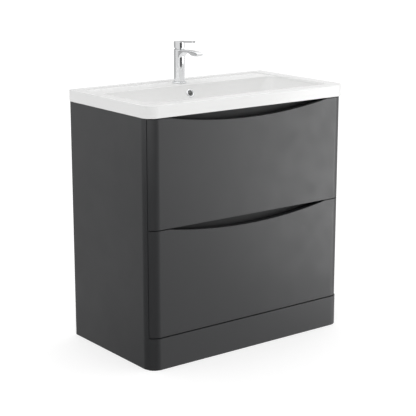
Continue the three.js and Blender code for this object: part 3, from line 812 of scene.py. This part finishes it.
# Each card: its centre, the point it faces, its size and its radiance.
CARDS = {
    "card_right": ((1.95, -1.62, 0.20), (0.3, -0.2, 0.15), (0.9, 1.4), 4.4),
    "card_back_left": ((-1.15, 1.35, 0.25), (-0.4, 0.1, 0.2), (0.8, 1.5), 0.32),
    "card_front_left": ((-0.95, -0.14, 1.12), (0.0, 0.17, 0.95), (2.56, 1.0), 0.66),
}
# This one is only there for gloss and chrome to mirror. It gives no diffuse light.
REFLECTED_ONLY = "card_front_left"


def make_floor():
    low = (-FLOOR_REACH, -FLOOR_REACH, -FLOOR_THICKNESS)
    mesh = box_mesh("floor", low, (FLOOR_REACH, FLOOR_REACH, FLOOR_TOP))
    floor = bpy.data.objects.new("floor", mesh)
    bpy.context.scene.collection.objects.link(floor)
    shader = Shader("pale_floor", (FLOOR_COLOR,) * 3, 0.9)
    shader.set(Emission_Color=(1, 1, 1, 1), Emission_Strength=FLOOR_GLOW)
    floor.data.materials.append(shader.material)
    floor.visible_glossy = False


def light_card(name, centre, target, size, radiance):
    data = bpy.data.lights.new(name, "AREA")
    data.shape = "RECTANGLE"
    data.size, data.size_y = size
    data.energy = radiance * math.pi * size[0] * size[1]
    card = bpy.data.objects.new(name, data)
    bpy.context.scene.collection.objects.link(card)
    card.visible_camera = False
    card.visible_diffuse = name != REFLECTED_ONLY
    card.location = centre
    card.rotation_euler = (Vector(target) - Vector(centre)).to_track_quat("-Z", "Y").to_euler()


def make_surround():
    world = bpy.data.worlds.new("studio")
    bpy.context.scene.world = world
    world.use_nodes = True
    tree = world.node_tree
    new = tree.nodes.new
    link = tree.links.new
    direction = new("ShaderNodeTexCoord").outputs["Generated"]
    across = Vector((math.cos(CAMERA_AZIMUTH), math.sin(CAMERA_AZIMUTH), 0))
    towards = Vector((math.sin(CAMERA_AZIMUTH), -math.cos(CAMERA_AZIMUTH), 0))
    parts = []
    for axis in (across, towards):
        part = new("ShaderNodeVectorMath")
        part.operation = "DOT_PRODUCT"
        part.inputs[1].default_value = axis
        link(direction, part.inputs[0])
        parts.append(part.outputs["Value"])
    angle = new("ShaderNodeMath")
    angle.operation = "ARCTAN2"
    link(parts[0], angle.inputs[0])
    link(parts[1], angle.inputs[1])
    turn = new("ShaderNodeMapRange")
    turn.inputs["From Min"].default_value = -math.pi
    turn.inputs["From Max"].default_value = math.pi
    link(angle.outputs["Value"], turn.inputs["Value"])
    ramp = new("ShaderNodeValToRGB")
    stops = ramp.color_ramp.elements
    while len(stops) < len(SURROUND):
        stops.new(0.5)
    for stop, (degrees, shade) in zip(stops, SURROUND):
        stop.position = (degrees + 180) / 360
        stop.color = (shade, shade, shade, 1)
    link(turn.outputs["Result"], ramp.inputs["Fac"])
    # overhead the surround is one soft ceiling
    height = new("ShaderNodeSeparateXYZ")
    link(direction, height.inputs["Vector"])
    up = new("ShaderNodeMapRange")
    up.inputs["From Min"].default_value = CEILING_START
    up.inputs["From Max"].default_value = CEILING_WHOLE
    link(height.outputs["Z"], up.inputs["Value"])
    ceiling = new("ShaderNodeMix")
    ceiling.data_type = "RGBA"
    link(up.outputs["Result"], ceiling.inputs["Factor"])
    link(ramp.outputs["Color"], ceiling.inputs["A"])
    ceiling.inputs["B"].default_value = (CEILING, CEILING, CEILING, 1)
    seen = new("ShaderNodeMix")
    seen.data_type = "RGBA"
    link(new("ShaderNodeLightPath").outputs["Is Camera Ray"], seen.inputs["Factor"])
    link(ceiling.outputs["Result"], seen.inputs["A"])
    seen.inputs["B"].default_value = (1, 1, 1, 1)
    link(seen.outputs["Result"], tree.nodes["Background"].inputs["Color"])


def make_studio():
    make_floor()
    make_surround()
    for name, card in CARDS.items():
        light_card(name, *card)
    bpy.context.scene.view_settings.view_transform = "Standard"


# ------------------------------------------------------------------ screws
SCREW_RADIUS = 3.5
SCREW_HEIGHT = 0.9
SCREW_STEPS = 24
CHANNEL_SHEET = 1.2 * MM
BRACKET_SHEET = 2 * MM
# places of the screws along the runners, from their front ends, in millimetres
FIXED_SCREWS = (35, 160, 315)
MOVING_SCREWS = (30, 130, 230, 320)
BRACKET_SCREW_INSET = 26 * MM
BRACKET_SCREW_SCALE = 1.25


def screw_mesh():
    """A low pan head with a cross recess, standing on its underside."""
    head = [(1, 0), (1, 0.12), (0.96, 0.45), (0.8, 0.8), (0.5, 0.97), (0.05, 1)]
    head = [(radius * SCREW_RADIUS * MM, rise * SCREW_HEIGHT * MM) for radius, rise in head]
    half, deep, top = 0.45 * MM, 0.4 * MM, 2 * MM
    reach = 2.1 * MM
    low = SCREW_HEIGHT * MM - deep
    slots = [
        box_mesh("slot", (-reach, -half, low), (reach, half, top)),
        box_mesh("slot", (-half, -reach, low), (half, reach, top)),
    ]
    made = combine("screw", turned_solid("head", head, SCREW_STEPS), "DIFFERENCE", *slots)
    shade_by_angle(made, 40)
    return made


def gathered(name, base, places):
    """Copies of one mesh at several places, as one mesh."""
    mesh = bmesh.new()
    for place in places:
        copy = base.copy()
        copy.transform(place)
        mesh.from_mesh(copy)
        bpy.data.meshes.remove(copy)
    made = bpy.data.meshes.new(name)
    mesh.to_mesh(made)
    mesh.free()
    return made


def facing(point, direction):
    """Turns a screw's head towards +X or -X at a point."""
    return Matrix.Translation(point) @ Matrix.Rotation(math.radians(90 * direction), 4, "Y")


def runner_screws(node, depths, direction):
    """direction is the side, -1 or 1, that the heads face."""
    low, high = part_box(node)
    web = (low.x if direction > 0 else high.x) + direction * CHANNEL_SHEET
    middle = (low.z + high.z) / 2
    return [facing((web, low.y + depth * MM, middle), direction) for depth in depths]


def build_screws():
    base = screw_mesh()
    fixed = []
    for drawer in ("top_drawer", "bottom_drawer"):
        moving = []
        for name, side in SIDES.items():
            fixed += runner_screws(f"{drawer}_runner_fixed_{name}", FIXED_SCREWS, -side)
            moving += runner_screws(f"{drawer}_runner_moving_{name}", MOVING_SCREWS, side)
        piece_from(f"{drawer}_runner_screws", gathered("screws", base, moving), drawer, "steel")
    for name, side in SIDES.items():
        low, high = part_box(f"wall_bracket_{name}")
        leg = (high.x if side > 0 else low.x) - side * BRACKET_SHEET
        place = Vector((leg, high.y - BRACKET_SCREW_INSET, (low.z + high.z) / 2))
        fixed.append(facing(place, -side) @ Matrix.Scale(BRACKET_SCREW_SCALE, 4))
    piece_from("carcass_screws", gathered("screws", base, fixed), "carcass", "steel")


# ------------------------------------------------------------------ the cabinet
# how far each material's edges are rounded, and the rest's
EDGE_WIDTHS = {
    "cabinet_paint": 1.4 * MM, "rail_paint": 0.5 * MM, "carcass_board": 0.8 * MM,
    "drawer_board": 0.9 * MM,
}
OTHER_EDGES = 0.3 * MM


def dress_cad_nodes():
    slots = {row["node"]: row["material_slot"] for row in frame["record"]["subparts"]}
    for name in nodes:
        slot = slots[name]
        finish_cad_node(name, slot, EDGE_WIDTHS.get(slot, OTHER_EDGES))


make_camera()
dress_cad_nodes()
build_basin()
build_overflow_ring()
build_waste()
build_tap()
build_screws()
make_studio()
